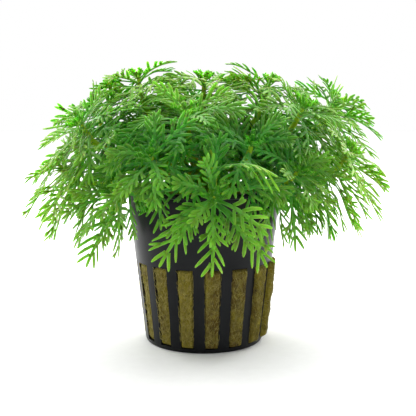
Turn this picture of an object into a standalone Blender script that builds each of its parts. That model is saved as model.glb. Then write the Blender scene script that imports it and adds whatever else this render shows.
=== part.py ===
"""A water violet of the aquarium trade in its net pot: pot, rock wool plug, leafy shoots and lower leaves.

Metres, +Z up. The origin is the middle of the pot's underside, and the front of the plant faces -Y.
"""

import math
import random

import bmesh
import bpy
from mathutils import Vector
from mathutils.bvhtree import BVHTree

MM = 0.001
GAP = 0.35 * MM
UP = Vector((0, 0, 1))

# The net pot: a tapered cup with upright slots round its lower half.
POT_HEIGHT = 50 * MM
POT_FOOT_RADIUS = 19.3 * MM
POT_RIM_RADIUS = 25 * MM
POT_WALL = 0.9 * MM
POT_FLOOR = 1.0 * MM
POT_CLEARANCE = 1.5 * MM
POT_SIDES = 32
LIP_WIDTH = 0.7 * MM
LIP_HEIGHT = 1.6 * MM
SLOT_COUNT = 16
SLOT_PHASE = math.radians(7.3)
SLOT_BOTTOM = 1.4 * MM
SLOT_TOP = 26.7 * MM
BAR_WIDTH = 3.6 * MM

# The rock wool plug, which swells out through the slots, most of all on the right.
WOOL_TOP = 47.5 * MM
WOOL_SWELL = 0.4 * MM
WOOL_SWELL_TO_RIGHT = 1.0 * MM

# The shoots: where each crown stands, where it faces and its leaf length. Millimetres.
OUTER_SHOOTS = (
    ((47, -2, 61), (0.6, -0.15, 0.75), 22),
    ((46, 22, 77), (0.45, 0.25, 0.85), 21),
    ((27, 35, 63), (0.4, 0.65, 0.6), 21),
    ((-10, 36, 69), (-0.1, 0.7, 0.7), 21),
    ((-38, 16, 75), (-0.45, 0.2, 0.85), 21),
    ((-46, -4, 57), (-0.55, -0.15, 0.8), 22),
    ((-27, -20, 50), (-0.4, -0.65, 0.6), 22),
    ((-15, -27, 61), (-0.25, -0.75, 0.6), 21),
    ((3, -33, 50), (0.0, -0.9, 0.42), 24),
    ((28, -19, 56), (0.5, -0.6, 0.6), 21),
)
INNER_SHOOTS = (
    ((31, -5, 75), (0.4, -0.3, 0.87), 22),
    ((22, 14, 83), (0.25, 0.1, 0.95), 22),
    ((0, 12, 84), (0.05, -0.1, 1.0), 22),
    ((-22, 11, 85), (-0.15, 0.0, 1.0), 22),
    ((-38, -9, 70), (-0.5, -0.35, 0.8), 22),
    ((-5, -18, 73), (-0.05, -0.45, 0.87), 23),
    ((14, -22, 64), (0.2, -0.65, 0.7), 21),
)
OUTER_RING = 8.2 * MM
INNER_RING = 4.2 * MM
STEM_FOOT_RADIUS = 1.1 * MM
STEM_TIP_RADIUS = 0.85 * MM
STEM_SIDES = 6
STEM_RINGS = 5
STEM_RISE = 13 * MM
RIM_CLEARANCE = 2.2 * MM
TIER_HEIGHT = 1.7 * MM
TIERS = ((0, 1.0, 1.1, 3), (13, 0.97, 1.05, 3), (26, 0.8, 1.0, 2))
BUD_HEIGHT = 3.2 * MM

# A leaf: a bare stalk, then pairs of forward lobes along a drooping midrib.
LOBES = 3
LOOSE_LEAVES = 41
LOOSE_LENGTH = 1.12
LOOSE_DROP = 2.5 * MM
LOOSE_STEP = 1.8 * MM
STALK_END = 0.3
LOBES_END = 0.84
RIB_HALF_WIDTH = 0.8 * MM
RIB_HALF_WIDTH_END = 0.5 * MM
RIB_THICKNESS = 0.5 * MM
LOBE_LENGTH = 0.31
LOBE_ANGLE = math.radians(42)
LINE_STEPS = 12
TRIES = 60


def object_of(name, bm, material):
    """One closed mesh object, its normals facing out."""
    bmesh.ops.recalc_face_normals(bm, faces=bm.faces)
    mesh = bpy.data.meshes.new(name)
    bm.to_mesh(mesh)
    bm.free()
    mesh.materials.append(material)
    obj = bpy.data.objects.new(name, mesh)
    bpy.context.scene.collection.objects.link(obj)
    return obj


def plain_material(name, colour, roughness):
    material = bpy.data.materials.new(name)
    material.use_nodes = True
    shader = material.node_tree.nodes["Principled BSDF"]
    shader.inputs["Base Color"].default_value = (*colour, 1)
    shader.inputs["Roughness"].default_value = roughness
    shader.inputs["Metallic"].default_value = 0
    material.diffuse_color = (*colour, 1)
    return material


def around(angle, radius, height):
    """A point by its angle from the front (-Y) towards the right (+X)."""
    return Vector((radius * math.sin(angle), -radius * math.cos(angle), height))


def bridge(bm, lower, upper):
    """Quads between two rings of as many vertices, in order of their place round the ring."""
    count = len(lower)
    return [
        bm.faces.new((lower[i], lower[(i + 1) % count], upper[(i + 1) % count], upper[i]))
        for i in range(count)
    ]


def outer_radius(height):
    return POT_FOOT_RADIUS + (POT_RIM_RADIUS - POT_FOOT_RADIUS) * height / POT_HEIGHT


def inner_radius(height):
    return outer_radius(height) - POT_WALL


def slot_half_width(height):
    """The slots widen upwards, because the bars between them keep their width."""
    return (2 * math.pi * outer_radius(height) / SLOT_COUNT - BAR_WIDTH) / 2


def prism(bm, angle, stations):
    """A closed block along a spoke. Each station is a radius, a height and a half width, in a loop."""
    side = around(angle + math.pi / 2, 1, 0)
    rings = [
        [bm.verts.new(around(angle, radius, height) + side * half * way) for radius, height, half in stations]
        for way in (-1, 1)
    ]
    bridge(bm, *rings)
    for ring in rings:
        bm.faces.new(ring)


def slot_cutter():
    bm = bmesh.new()
    inside, outside = POT_FOOT_RADIUS * 0.8, POT_RIM_RADIUS * 1.1
    low, high = slot_half_width(SLOT_BOTTOM), slot_half_width(SLOT_TOP)
    for number in range(SLOT_COUNT):
        angle = SLOT_PHASE + math.tau * number / SLOT_COUNT
        prism(
            bm,
            angle,
            (
                (inside, SLOT_BOTTOM, low),
                (outside, SLOT_BOTTOM, low),
                (outside, SLOT_TOP, high),
                (inside, SLOT_TOP, high),
            ),
        )
    return bm


def make_pot(material):
    """The turned cup, with its slots cut by one Boolean."""
    lip_foot = POT_HEIGHT - LIP_HEIGHT
    lip_radius = POT_RIM_RADIUS + LIP_WIDTH
    profile = (
        (POT_FOOT_RADIUS - 0.5 * MM, 0),
        (POT_FOOT_RADIUS, 0.5 * MM),
        (outer_radius(lip_foot), lip_foot),
        (lip_radius, lip_foot + 0.5 * MM),
        (lip_radius, POT_HEIGHT),
        (inner_radius(POT_HEIGHT), POT_HEIGHT),
        (inner_radius(POT_FLOOR), POT_FLOOR),
    )
    bm = bmesh.new()
    angles = [SLOT_PHASE + math.tau * i / POT_SIDES for i in range(POT_SIDES)]
    rings = [[bm.verts.new(around(a, radius, height)) for a in angles] for radius, height in profile]
    for lower, upper in zip(rings, rings[1:]):
        bridge(bm, lower, upper)
    bm.faces.new(rings[0])
    bm.faces.new(rings[-1])
    pot = object_of("pot", bm, material)
    cutter = object_of("slot_cutter", slot_cutter(), material)
    cutter.hide_render = True
    cutter.display_type = "WIRE"
    cut = pot.modifiers.new("slots", "BOOLEAN")
    cut.operation = "DIFFERENCE"
    cut.object = cutter


def make_wool(material):
    """A plug with two corners to each slot, so that every other face lies behind a slot and swells out."""
    bm = bmesh.new()
    heights = (POT_FLOOR + GAP, SLOT_BOTTOM + 2 * GAP, SLOT_TOP - GAP, WOOL_TOP)
    rings = []
    for height in heights:
        radius = inner_radius(height) - GAP
        half = math.asin((slot_half_width(min(height, SLOT_TOP)) - GAP) / radius)
        centres = [SLOT_PHASE + math.tau * i / SLOT_COUNT for i in range(SLOT_COUNT)]
        angles = [centre + way * half for centre in centres for way in (-1, 1)]
        rings.append([bm.verts.new(around(a, radius, height)) for a in angles])
    bridge(bm, rings[0], rings[1])
    behind_slots = bridge(bm, rings[1], rings[2])[::2]
    bridge(bm, rings[2], rings[3])
    bm.faces.new(rings[0])
    bm.faces.new(rings[3])
    swell_out(bm, behind_slots)
    object_of("rock_wool", bm, material)


def swell_out(bm, faces):
    """Pushes each face out through its slot to its own height past the outer wall."""
    for number, face in enumerate(faces):
        angle = SLOT_PHASE + math.tau * number / SLOT_COUNT
        way = around(angle, 1, 0)
        swell = WOOL_SWELL + WOOL_SWELL_TO_RIGHT * math.sin(angle)
        (pushed,) = bmesh.ops.extrude_discrete_faces(bm, faces=[face])["faces"]
        middle = pushed.calc_center_median()
        for vert in pushed.verts:
            lean = 0.4 * MM * (1 if vert.co.z < middle.z else -1)
            vert.co.z += lean
            vert.co += way * (outer_radius(vert.co.z) + swell - vert.co.dot(way))


class Leaf:
    """A leaf's midrib: it leaves the stem at an angle and is pulled down along its length."""

    def __init__(self, base, outward, axis, length, draw):
        self.length = length * draw.uniform(0.88, 1.06)
        rise = math.radians(draw.uniform(-9, 9)) + draw.rise
        droop = draw.droop * draw.uniform(0.7, 1.3)
        self.swing = draw.uniform(-0.32, 0.32)
        self.roll = math.radians(draw.uniform(-16, 16))
        self.start = outward * math.cos(rise) + axis * math.sin(rise)
        self.droop = droop * (1 - 0.5 * max(self.start.z, 0) ** 3)
        self.face = axis * math.cos(rise) - outward * math.sin(rise)
        self.across = self.start.cross(self.face)
        self.points = [base]
        for i in range(LINE_STEPS):
            step = self.direction((i + 0.5) / LINE_STEPS) * self.length / LINE_STEPS
            self.points.append(self.points[-1] + step)

    def direction(self, t):
        return (self.start + self.across * self.swing * t - UP * self.droop * t).normalized()

    def place(self, along, aside, above):
        """The point this far along the midrib, aside of it and above it, in metres."""
        t = along / self.length
        i = min(int(t * LINE_STEPS), LINE_STEPS - 1)
        point = self.points[i].lerp(self.points[i + 1], t * LINE_STEPS - i)
        forward = self.direction(t)
        side = forward.cross(self.face).normalized()
        face = side.cross(forward)
        turned = side * math.cos(self.roll) + face * math.sin(self.roll)
        return point + turned * aside + turned.cross(forward) * above


class Draw(random.Random):
    """The random draws of one try at one leaf, the same on every run."""

    def __init__(self, leaf_number, attempt, rise, droop):
        super().__init__(leaf_number * TRIES + attempt)
        self.rise = rise
        self.droop = droop


def add_leaf(bm, foot, leaf, lobes, thickness):
    """Joins a leaf's solid to four foot vertices: left low, right low, right high, left high."""
    first, last = STALK_END * leaf.length, LOBES_END * leaf.length
    spacing = (last - first) / lobes
    reach = LOBE_LENGTH * leaf.length
    edges = {-1: [], 1: []}
    ridge = []
    for j in range(lobes + 1):
        share = j / lobes
        along = first + spacing * j
        half = RIB_HALF_WIDTH + (RIB_HALF_WIDTH_END - RIB_HALF_WIDTH) * share
        ridge.append(bm.verts.new(leaf.place(along, 0, thickness)))
        for way in edges:
            edges[way].append(bm.verts.new(leaf.place(along, way * half, 0)))
    left_low, right_low, right_high, left_high = foot
    left, right = edges[1], edges[-1]
    bm.faces.new((left_low, right_low, right[0], left[0]))
    bm.faces.new((right_low, right_high, right[0]))
    bm.faces.new((right_high, ridge[0], right[0]))
    bm.faces.new((right_high, left_high, ridge[0]))
    bm.faces.new((left_high, left[0], ridge[0]))
    bm.faces.new((left_high, left_low, left[0]))
    for j in range(lobes):
        bm.faces.new((left[j], right[j], right[j + 1], left[j + 1]))
        stretch = reach * (1 - 0.35 * j / lobes)
        along = first + spacing * (j + 0.5) + stretch * math.cos(LOBE_ANGLE)
        aside = RIB_HALF_WIDTH_END + stretch * math.sin(LOBE_ANGLE)
        for way, edge in edges.items():
            tip = bm.verts.new(leaf.place(min(along, leaf.length), way * aside, 0))
            bm.faces.new((edge[j], tip, edge[j + 1]))
            bm.faces.new((ridge[j], edge[j], tip))
            bm.faces.new((ridge[j], tip, edge[j + 1]))
            bm.faces.new((ridge[j], edge[j + 1], ridge[j + 1]))
    end = bm.verts.new(leaf.place(leaf.length, 0, 0))
    bm.faces.new((left[-1], right[-1], end))
    bm.faces.new((ridge[-1], left[-1], end))
    bm.faces.new((ridge[-1], right[-1], end))


def meets_pot(point):
    """Whether a point is in the pot or nearly touches it."""
    radius = outer_radius(min(point.z, POT_HEIGHT)) + LIP_WIDTH + POT_CLEARANCE
    return point.z < POT_HEIGHT + POT_CLEARANCE and math.hypot(point.x, point.y) < radius


def leaf_probe(leaf, lobes, start):
    """A thicker copy of the leaf from this far along it, for finding a place where it crosses nothing.

    None where it would meet the pot."""
    bm = bmesh.new()
    half = RIB_HALF_WIDTH
    low, high = -0.3 * MM, RIB_THICKNESS
    corners = ((half, low), (-half, low), (-half, high), (half, high))
    foot = [bm.verts.new(leaf.place(start, aside, above)) for aside, above in corners]
    add_leaf(bm, foot, leaf, lobes, RIB_THICKNESS + 0.5 * MM)
    tree = None if any(meets_pot(vert.co) for vert in bm.verts) else BVHTree.FromBMesh(bm)
    bm.free()
    return tree


class Space:
    """What stands in the plant's space so far."""

    def __init__(self):
        self.taken = []

    def add(self, centre, reach, tree, owner):
        self.taken.append((centre, reach, tree, owner))

    def is_free(self, centre, reach, tree, owner):
        for other_centre, other_reach, other, other_owner in self.taken:
            near = (centre - other_centre).length < reach + other_reach
            own = owner is not None and other_owner is owner
            if near and not own and tree.overlap(other):
                return False
        return True

    def settle(self, leaf_of, lobes, owner):
        """The first try at a leaf that crosses nothing, or None. Its owner is the shoot it is fused to."""
        for attempt in range(TRIES):
            leaf = leaf_of(attempt)
            centre = leaf.points[LINE_STEPS // 2]
            reach = leaf.length * 0.62
            tree = leaf_probe(leaf, lobes, 1.3 * MM if owner else 0)
            if tree and self.is_free(centre, reach, tree, owner):
                self.add(centre, reach, tree, None)
                return leaf
        return None


class Shoot:
    """A stem from the rock wool to its crown, with the rings of vertices that its leaves grow from."""

    def __init__(self, number, foot, crown, facing, leaf_length):
        self.number = number
        self.axis = Vector(facing).normalized()
        self.leaf_length = leaf_length * MM
        self.crown = Vector(crown) * MM
        tiers_foot = self.crown - self.axis * len(TIERS) * TIER_HEIGHT
        self.handles = [foot, foot + UP * STEM_RISE, tiers_foot - self.axis * 9 * MM, tiers_foot]
        while not self.clears_rim():
            self.handles[2] += UP * MM
        across = self.axis.cross(UP if abs(self.axis.z) < 0.99 else Vector((0, 1, 0)))
        self.across = across.normalized()

    def middle(self, t):
        """The stem's middle line, a cubic curve."""
        a, b, c, d = self.handles
        s = 1 - t
        return a * s**3 + b * 3 * s * s * t + c * 3 * s * t * t + d * t**3

    def clears_rim(self):
        for i in range(41):
            point = self.middle(i / 40)
            from_rim = abs(math.hypot(point.x, point.y) - POT_RIM_RADIUS)
            if from_rim < 2.5 * MM and point.z < POT_HEIGHT + RIM_CLEARANCE:
                return False
        return True

    def heading(self, t):
        step = 0.01
        return (self.middle(t + step) - self.middle(t - step)).normalized()

    def hexagon(self, centre, heading, radius):
        """Corners round the stem, counter-clockwise from above, turned so that rings don't twist."""
        second = heading.cross(self.across).normalized()
        first = second.cross(heading)
        turn = self.number * 0.7
        angles = [turn + math.tau * i / STEM_SIDES for i in range(STEM_SIDES)]
        return [centre + (first * math.cos(a) + second * math.sin(a)) * radius for a in angles]

    def outward(self, face):
        """The way out of the stem through the middle of one of its six sides, at the crown."""
        second = self.axis.cross(self.across).normalized()
        first = second.cross(self.axis)
        angle = self.number * 0.7 + math.tau * (face + 0.5) / STEM_SIDES
        return first * math.cos(angle) + second * math.sin(angle)

    def rings(self):
        """Rings of points from the foot to the top of the upper tier of leaves."""
        found = []
        for i in range(STEM_RINGS):
            t = i / (STEM_RINGS - 1)
            radius = STEM_FOOT_RADIUS + (STEM_TIP_RADIUS - STEM_FOOT_RADIUS) * t
            heading = UP if i == 0 else self.axis if i == STEM_RINGS - 1 else self.heading(t)
            found.append(self.hexagon(self.middle(t), heading, radius))
        for tier in range(len(TIERS)):
            centre = self.handles[3] + self.axis * TIER_HEIGHT * (tier + 1)
            found.append(self.hexagon(centre, self.axis, STEM_TIP_RADIUS))
        return found

    def solid(self, leaves):
        """The stem, its bud and its leaves as one closed mesh. leaves maps (tier, face) to a Leaf."""
        bm = bmesh.new()
        rings = [[bm.verts.new(point) for point in ring] for ring in self.rings()]
        bm.faces.new(rings[0])
        for lower, upper in zip(rings[: STEM_RINGS - 1], rings[1:STEM_RINGS]):
            bridge(bm, lower, upper)
        for tier in range(len(TIERS)):
            lower, upper = rings[STEM_RINGS - 1 + tier], rings[STEM_RINGS + tier]
            for face in range(STEM_SIDES):
                following = (face + 1) % STEM_SIDES
                foot = (lower[face], lower[following], upper[following], upper[face])
                leaf = leaves.get((tier, face))
                if leaf:
                    add_leaf(bm, foot, leaf, TIERS[tier][3], RIB_THICKNESS)
                else:
                    bm.faces.new(foot)
        bud = bm.verts.new(self.crown + self.axis * BUD_HEIGHT)
        top = rings[-1]
        for i in range(STEM_SIDES):
            bm.faces.new((top[i], top[(i + 1) % STEM_SIDES], bud))
        return bm

    def fused_leaf(self, tier, face, attempt):
        rise, share, droop, _ = TIERS[tier]
        draw = Draw((self.number * 3 + tier) * 6 + face, attempt, math.radians(rise), droop)
        outward = self.outward(face)
        centre = self.handles[3] + self.axis * TIER_HEIGHT * (tier + 0.5)
        inside = math.cos(math.pi / STEM_SIDES) * STEM_TIP_RADIUS
        return Leaf(centre + outward * inside, outward, self.axis, self.leaf_length * share, draw)

    def loose_leaf(self, index, attempt):
        """A leaf of its own below the crown, its foot a gap away from the stem."""
        draw = Draw(300 + self.number * 6 + index, attempt, math.radians(-4), 0.85)
        t = 1 - (LOOSE_DROP + LOOSE_STEP * index) / (self.handles[3] - self.handles[0]).length
        outward = self.outward(index * 2 + 0.4 * self.number + attempt * 0.11)
        heading = self.heading(t)
        outward = (outward - heading * outward.dot(heading)).normalized()
        base = self.middle(t) + outward * (STEM_FOOT_RADIUS + GAP)
        return Leaf(base, outward, heading, self.leaf_length * LOOSE_LENGTH, draw)


def loose_leaf_solid(leaf):
    bm = bmesh.new()
    half, thickness = RIB_HALF_WIDTH * 0.8, RIB_THICKNESS
    corners = ((half, 0), (-half, 0), (-half, thickness), (half, thickness))
    foot = [bm.verts.new(leaf.place(0, aside, above)) for aside, above in corners]
    bm.faces.new(foot)
    add_leaf(bm, foot, leaf, LOBES, thickness)
    return bm


def ring_of_shoots(table, radius, first_number):
    """Sets the feet of a ring of shoots evenly round the pot, in the order of their crowns."""
    start = math.atan2(table[0][0][1], table[0][0][0])
    shoots = []
    for i, row in enumerate(table):
        angle = start + math.tau * i / len(table)
        foot = Vector((math.cos(angle) * radius, math.sin(angle) * radius, WOOL_TOP + GAP))
        shoots.append(Shoot(first_number + i, foot, *row))
    return shoots


def stem_tree(shoot):
    bm = shoot.solid({})
    tree = BVHTree.FromBMesh(bm)
    bm.free()
    return tree


def make_plant(material):
    """Grows every leaf into free space: the fused ones shoot by shoot, then the loose ones below."""
    outer = ring_of_shoots(OUTER_SHOOTS, OUTER_RING, 1)
    inner = ring_of_shoots(INNER_SHOOTS, INNER_RING, 1 + len(OUTER_SHOOTS))
    shoots = outer + inner
    space = Space()
    everywhere = 1.0
    for shoot in shoots:
        space.add(Vector(), everywhere, stem_tree(shoot), shoot)
    for shoot in shoots:
        leaves = {}
        for tier in reversed(range(len(TIERS))):
            for face in range(tier % 2, STEM_SIDES, 2):
                leaf = space.settle(lambda k: shoot.fused_leaf(tier, face, k), TIERS[tier][3], shoot)
                if leaf:
                    leaves[tier, face] = leaf
        shoot.leaves = leaves
    for shoot in shoots:
        name = f"shoot_{shoot.number:02d}"
        object_of(name, shoot.solid(shoot.leaves), material)
    made = 0
    for index in (0, 1, 2):
        for shoot in shoots:
            if made == LOOSE_LEAVES:
                break
            leaf = space.settle(lambda k: shoot.loose_leaf(index, k), LOBES, None)
            if leaf:
                made += 1
                object_of(f"leaf_{shoot.number:02d}_{'abc'[index]}", loose_leaf_solid(leaf), material)


def main():
    for obj in list(bpy.data.objects):
        bpy.data.objects.remove(obj)
    plastic = plain_material("black_plastic", (0.035, 0.038, 0.042), 0.35)
    mineral_wool = plain_material("mineral_wool", (0.30, 0.26, 0.07), 0.95)
    green = plain_material("leaf_green", (0.12, 0.38, 0.05), 0.5)
    make_pot(plastic)
    make_wool(mineral_wool)
    make_plant(green)


main()
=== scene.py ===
"""A water violet of the aquarium trade in its net pot, dressed for a studio picture.

The leaves stand where the model's solids have them, because they grow by the same rule.
"""

import math
import random

import bmesh
import bpy
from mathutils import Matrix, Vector, noise
from mathutils.bvhtree import BVHTree


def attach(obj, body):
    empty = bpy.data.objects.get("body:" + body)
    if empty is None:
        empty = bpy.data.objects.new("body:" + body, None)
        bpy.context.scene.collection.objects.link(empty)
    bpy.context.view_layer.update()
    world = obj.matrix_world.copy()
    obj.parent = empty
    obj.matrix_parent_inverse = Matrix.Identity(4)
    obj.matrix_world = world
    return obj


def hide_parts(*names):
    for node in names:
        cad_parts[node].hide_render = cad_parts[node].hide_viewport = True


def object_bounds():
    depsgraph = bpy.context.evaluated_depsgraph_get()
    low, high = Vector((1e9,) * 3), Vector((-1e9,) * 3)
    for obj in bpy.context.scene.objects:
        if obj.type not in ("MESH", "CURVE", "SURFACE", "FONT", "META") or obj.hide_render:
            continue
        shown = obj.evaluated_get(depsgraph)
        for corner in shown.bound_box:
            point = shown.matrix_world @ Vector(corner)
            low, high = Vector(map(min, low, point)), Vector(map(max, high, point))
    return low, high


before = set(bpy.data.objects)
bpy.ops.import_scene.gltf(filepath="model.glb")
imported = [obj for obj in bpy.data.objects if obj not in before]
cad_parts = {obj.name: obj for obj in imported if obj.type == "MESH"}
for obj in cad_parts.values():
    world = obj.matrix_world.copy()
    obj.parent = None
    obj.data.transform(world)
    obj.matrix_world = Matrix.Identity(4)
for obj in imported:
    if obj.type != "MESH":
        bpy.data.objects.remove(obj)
cad_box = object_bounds()

MM = 0.001
GAP = 0.35 * MM
UP = Vector((0, 0, 1))

# The net pot: a tapered cup with upright slots round its lower half.
POT_HEIGHT = 50 * MM
POT_FOOT_RADIUS = 19.3 * MM
POT_RIM_RADIUS = 25 * MM
POT_WALL = 0.9 * MM
POT_FLOOR = 1.0 * MM
POT_CLEARANCE = 1.5 * MM
LIP_WIDTH = 0.7 * MM
LIP_HEIGHT = 1.6 * MM
SLOT_COUNT = 16
SLOT_PHASE = math.radians(7.3)
SLOT_BOTTOM = 1.4 * MM
SLOT_TOP = 26.7 * MM
BAR_WIDTH = 3.6 * MM

# The rock wool plug, which swells out through the slots, most of all on the right.
WOOL_TOP = 47.5 * MM
WOOL_SWELL = 0.4 * MM
WOOL_SWELL_TO_RIGHT = 1.0 * MM

# The shoots: where each crown stands, where it faces and its leaf length. Millimetres, as is STEM_BEND.
OUTER_SHOOTS = (
    ((47, -2, 61), (0.6, -0.15, 0.75), 22),
    ((46, 22, 77), (0.45, 0.25, 0.85), 21),
    ((27, 35, 63), (0.4, 0.65, 0.6), 21),
    ((-10, 36, 69), (-0.1, 0.7, 0.7), 21),
    ((-38, 16, 75), (-0.45, 0.2, 0.85), 21),
    ((-46, -4, 57), (-0.55, -0.15, 0.8), 22),
    ((-27, -20, 50), (-0.4, -0.65, 0.6), 22),
    ((-15, -27, 61), (-0.25, -0.75, 0.6), 21),
    ((3, -33, 50), (0.0, -0.9, 0.42), 24),
    ((28, -19, 56), (0.5, -0.6, 0.6), 21),
)
INNER_SHOOTS = (
    ((31, -5, 75), (0.4, -0.3, 0.87), 22),
    ((22, 14, 83), (0.25, 0.1, 0.95), 22),
    ((0, 12, 84), (0.05, -0.1, 1.0), 22),
    ((-22, 11, 85), (-0.15, 0.0, 1.0), 22),
    ((-38, -9, 70), (-0.5, -0.35, 0.8), 22),
    ((-5, -18, 73), (-0.05, -0.45, 0.87), 23),
    ((14, -22, 64), (0.2, -0.65, 0.7), 21),
)
OUTER_RING = 8.2 * MM
INNER_RING = 4.2 * MM
STEM_FOOT_RADIUS = 1.1 * MM
STEM_TIP_RADIUS = 0.85 * MM
STEM_SIDES = 6
STEM_RINGS = 5
STEM_RISE = 13 * MM
RIM_CLEARANCE = 2.2 * MM
TIER_HEIGHT = 1.7 * MM
TIERS = ((0, 1.0, 1.1, 3), (13, 0.97, 1.05, 3), (26, 0.8, 1.0, 2))
BUD_HEIGHT = 3.2 * MM
STEM_BEND = 9
TURN_PER_SHOOT = 0.7
RIM_NEARBY = 2.5 * MM
RIM_STEPS = 40

# A leaf: a bare stalk, then pairs of forward lobes along a drooping midrib.
LOBES = 3
LOOSE_LEAVES = 41
LOOSE_LENGTH = 1.12
LOOSE_DROP = 2.5 * MM
LOOSE_STEP = 1.8 * MM
STALK_END = 0.3
LOBES_END = 0.84
RIB_HALF_WIDTH = 0.8 * MM
RIB_HALF_WIDTH_END = 0.5 * MM
RIB_THICKNESS = 0.5 * MM
LOBE_LENGTH = 0.31
LOBE_ANGLE = math.radians(42)
LINE_STEPS = 12
LEAF_REACH = 0.62
TRIES = 60
LOOSE_SEED = 300
LOOSE_RISE = math.radians(-4)
LOOSE_DROOP = 0.85
LOOSE_TRY_TURN = 0.11

# How much one leaf differs from the next. Rise and roll are in degrees.
LENGTH_VARIES = (0.88, 1.06)
RISE_VARIES = (-9, 9)
DROOP_VARIES = (0.7, 1.3)
SWING_VARIES = (-0.32, 0.32)
ROLL_VARIES = (-16, 16)
UPRIGHT_DROOP_LOST = 0.5

# The thicker copy of a leaf that is tried for crossings.
PROBE_LOW = -0.3 * MM
PROBE_THICKER = 0.5 * MM
PROBE_START = 1.3 * MM

# The leaves that stand between those of the solids and close the plant's dome. Angles are in degrees.
FILL_LEAVES = 28
FILL_TRIES = 30
FILL_SEED = 4000
FILL_DEPTH = 21 * MM
FILL_RISE = 34
FILL_RISE_LOST = 42
FILL_DROOP = 0.85
FILL_TURN = 2.29
FILL_TRY_TURN = 0.37
FILL_SIZE = 0.6
FILL_SIZE_GAINED = 1.2
LOWEST_TIP = 29 * MM
LOW_CROWN = 63.5 * MM
LOW_CROWN_LIFT = 45
LOW_CROWN_SIZE_LOST = 0.35
RIBBON_STATIONS = 6
RIBBON_HALF_WIDTH = 2.0 * MM
RIBBON_LIFT = 0.2 * MM
RIBBON_SPREAD = 0.2
RIBBON_MARGIN = 1.5 * MM

# The fine leaves. A station is a share of the length and the half width there, in lobe half widths.
FINE_LOBES = 4
LOBE_HALF_WIDTH = 0.48 * MM
FINE_LOBE_LENGTH = 0.35
LOBE_STATIONS = ((0.0, 1.2), (0.2, 0.95), (0.5, 1.0), (0.75, 0.9), (0.92, 0.62), (1.0, 0.3))
RIB_STATIONS = (
    (-0.03, 1.4), (0.03, 1.3), (0.1, 1.1), (0.2, 1.05), (0.3, 1.15), (0.42, 1.25),
    (0.55, 1.2), (0.68, 1.1), (0.8, 0.95), (0.9, 1.0), (0.965, 0.85), (0.985, 0.45),
)
RIB_TIP_FROM = 0.68
STRIP_SECTION = ((1.0, 0.0), (0.5, 0.5), (0.0, 0.6), (-0.5, 0.5), (-1.0, 0.0), (0.0, -0.5))
BLADE_THICKNESS = 0.26 * MM
RIB_THICKER = 1.25
LOBE_ROOT = 0.8
FORKED_SHARE = 0.25
FORKED_FROM = 3.6 * MM
FOLD = (0.15, 0.55)
CURL = (-0.9, 0.6)
TWIST = (-0.5, 0.5)
WAVE_HEIGHT = 0.18 * MM
BOX_MARGIN = 0.3 * MM
LOOSE_SHAPE_SEED = 7000
FILL_SHAPE_SEED = 60

# The young leaves over each bud, from the inmost out. Sizes are in millimetres, angles in degrees.
YOUNG_LEAVES = 10
YOUNG_TURN = 2.35
YOUNG_SIZE = 2.4
YOUNG_SIZE_GAINED = 3.8
YOUNG_RISE = (50, 66)
YOUNG_RISE_LOST = 30
YOUNG_DROOP = -0.25
YOUNG_SEED = 900
YOUNG_LEAF_SEED = 2000
YOUNG_SHAPE_SEED = 5000

# The fine stem.
FINE_STEM_RINGS = 34
FINE_STEM_SIDES = 12
CROWN_RINGS = 6
STEM_TONE = 0.5
STEM_YOUTH = 2.0

# Painted light: leaves far out, high up or low down are painted paler as if lit through from behind, less so
# at the back, and so are those of some shoots.
PALE_REACH = 20 * MM
PALE_FROM_RADIUS = 31 * MM
PALE_FROM_HEIGHT = 67 * MM
PALE_BELOW_HEIGHT = 49 * MM
SHADE_FROM = 4 * MM
SHADE_REACH = 22 * MM
SHADE_DEPTH = 0.75
PAINTED_BACKLIGHT_SHOOTS = {1: 0.3, 2: 0.6, 3: 0.4, 6: 0.2}
LEAF_GLOW = 0.8 * MM

# The fine mesh of the pot and the wool.
SLOT_STEPS = 4
BAR_STEPS = 4
SLOT_ROWS = 10
WALL_ROWS = 8
EDGE_ROUNDING = 0.14 * MM
WOOL_STEPS_PER_SLOT = 32
WOOL_LEVELS = 110
WOOL_TOP_RINGS = 14
FIBRES_PER_SLOT = 260
FIBRE_SEED = 77
FIBRE_STEPS = 4
FIBRE_SECTION = ((1, 0), (-0.5, 0.87), (-0.5, -0.87))

# The studio. The camera stands where the photograph was taken from; each light has its place, size and watts.
CAMERA_PLACE = (0.0013, -0.240, 0.073)
CAMERA_DOWN = math.radians(7.11)
CAMERA_LENS = 63.9
SENSOR_WIDTH = 36
LIT_POINT = Vector((0, 0, 0.055))
LIGHTS = (
    ("key_light", (-0.5, -0.6, 0.75), 0.35, 0.8),
    ("back_left_light", (-0.55, 0.45, 0.35), 0.45, 3.3),
    ("back_right_light", (0.55, 0.5, 0.4), 0.45, 4.0),
    ("back_top_light", (0.0, 0.55, 0.75), 0.45, 3.4),
)
CEILING_STRENGTH = 0.6
CEILING_SOFTNESS = math.radians(60)
CEILING_TILT = (math.radians(12), math.radians(-14), 0)
FRONT_GLOW = 0.39
BACK_GLOW = 1.85
FLOOR_HALF = 3.0


def around(angle, radius, height):
    """A point by its angle from the front (-Y) towards the right (+X)."""
    return Vector((radius * math.sin(angle), -radius * math.cos(angle), height))


def ring_faces(first, count):
    """Quads between the ring of points that starts at this number and the next ring."""
    quads = []
    for i in range(count):
        j = (i + 1) % count
        quads.append((first + i, first + j, first + count + j, first + count + i))
    return quads


def fan_faces(first, count, tip):
    """Triangles from the ring of points that starts at this number to a tip point."""
    return [(first + i, first + (i + 1) % count, tip) for i in range(count)]


def smooth_mesh(name, points, faces):
    mesh = bpy.data.meshes.new(name)
    mesh.from_pydata([tuple(p) for p in points], [], faces)
    mesh.shade_smooth()
    return mesh


def outer_radius(height):
    return POT_FOOT_RADIUS + (POT_RIM_RADIUS - POT_FOOT_RADIUS) * height / POT_HEIGHT


def inner_radius(height):
    return outer_radius(height) - POT_WALL


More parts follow.
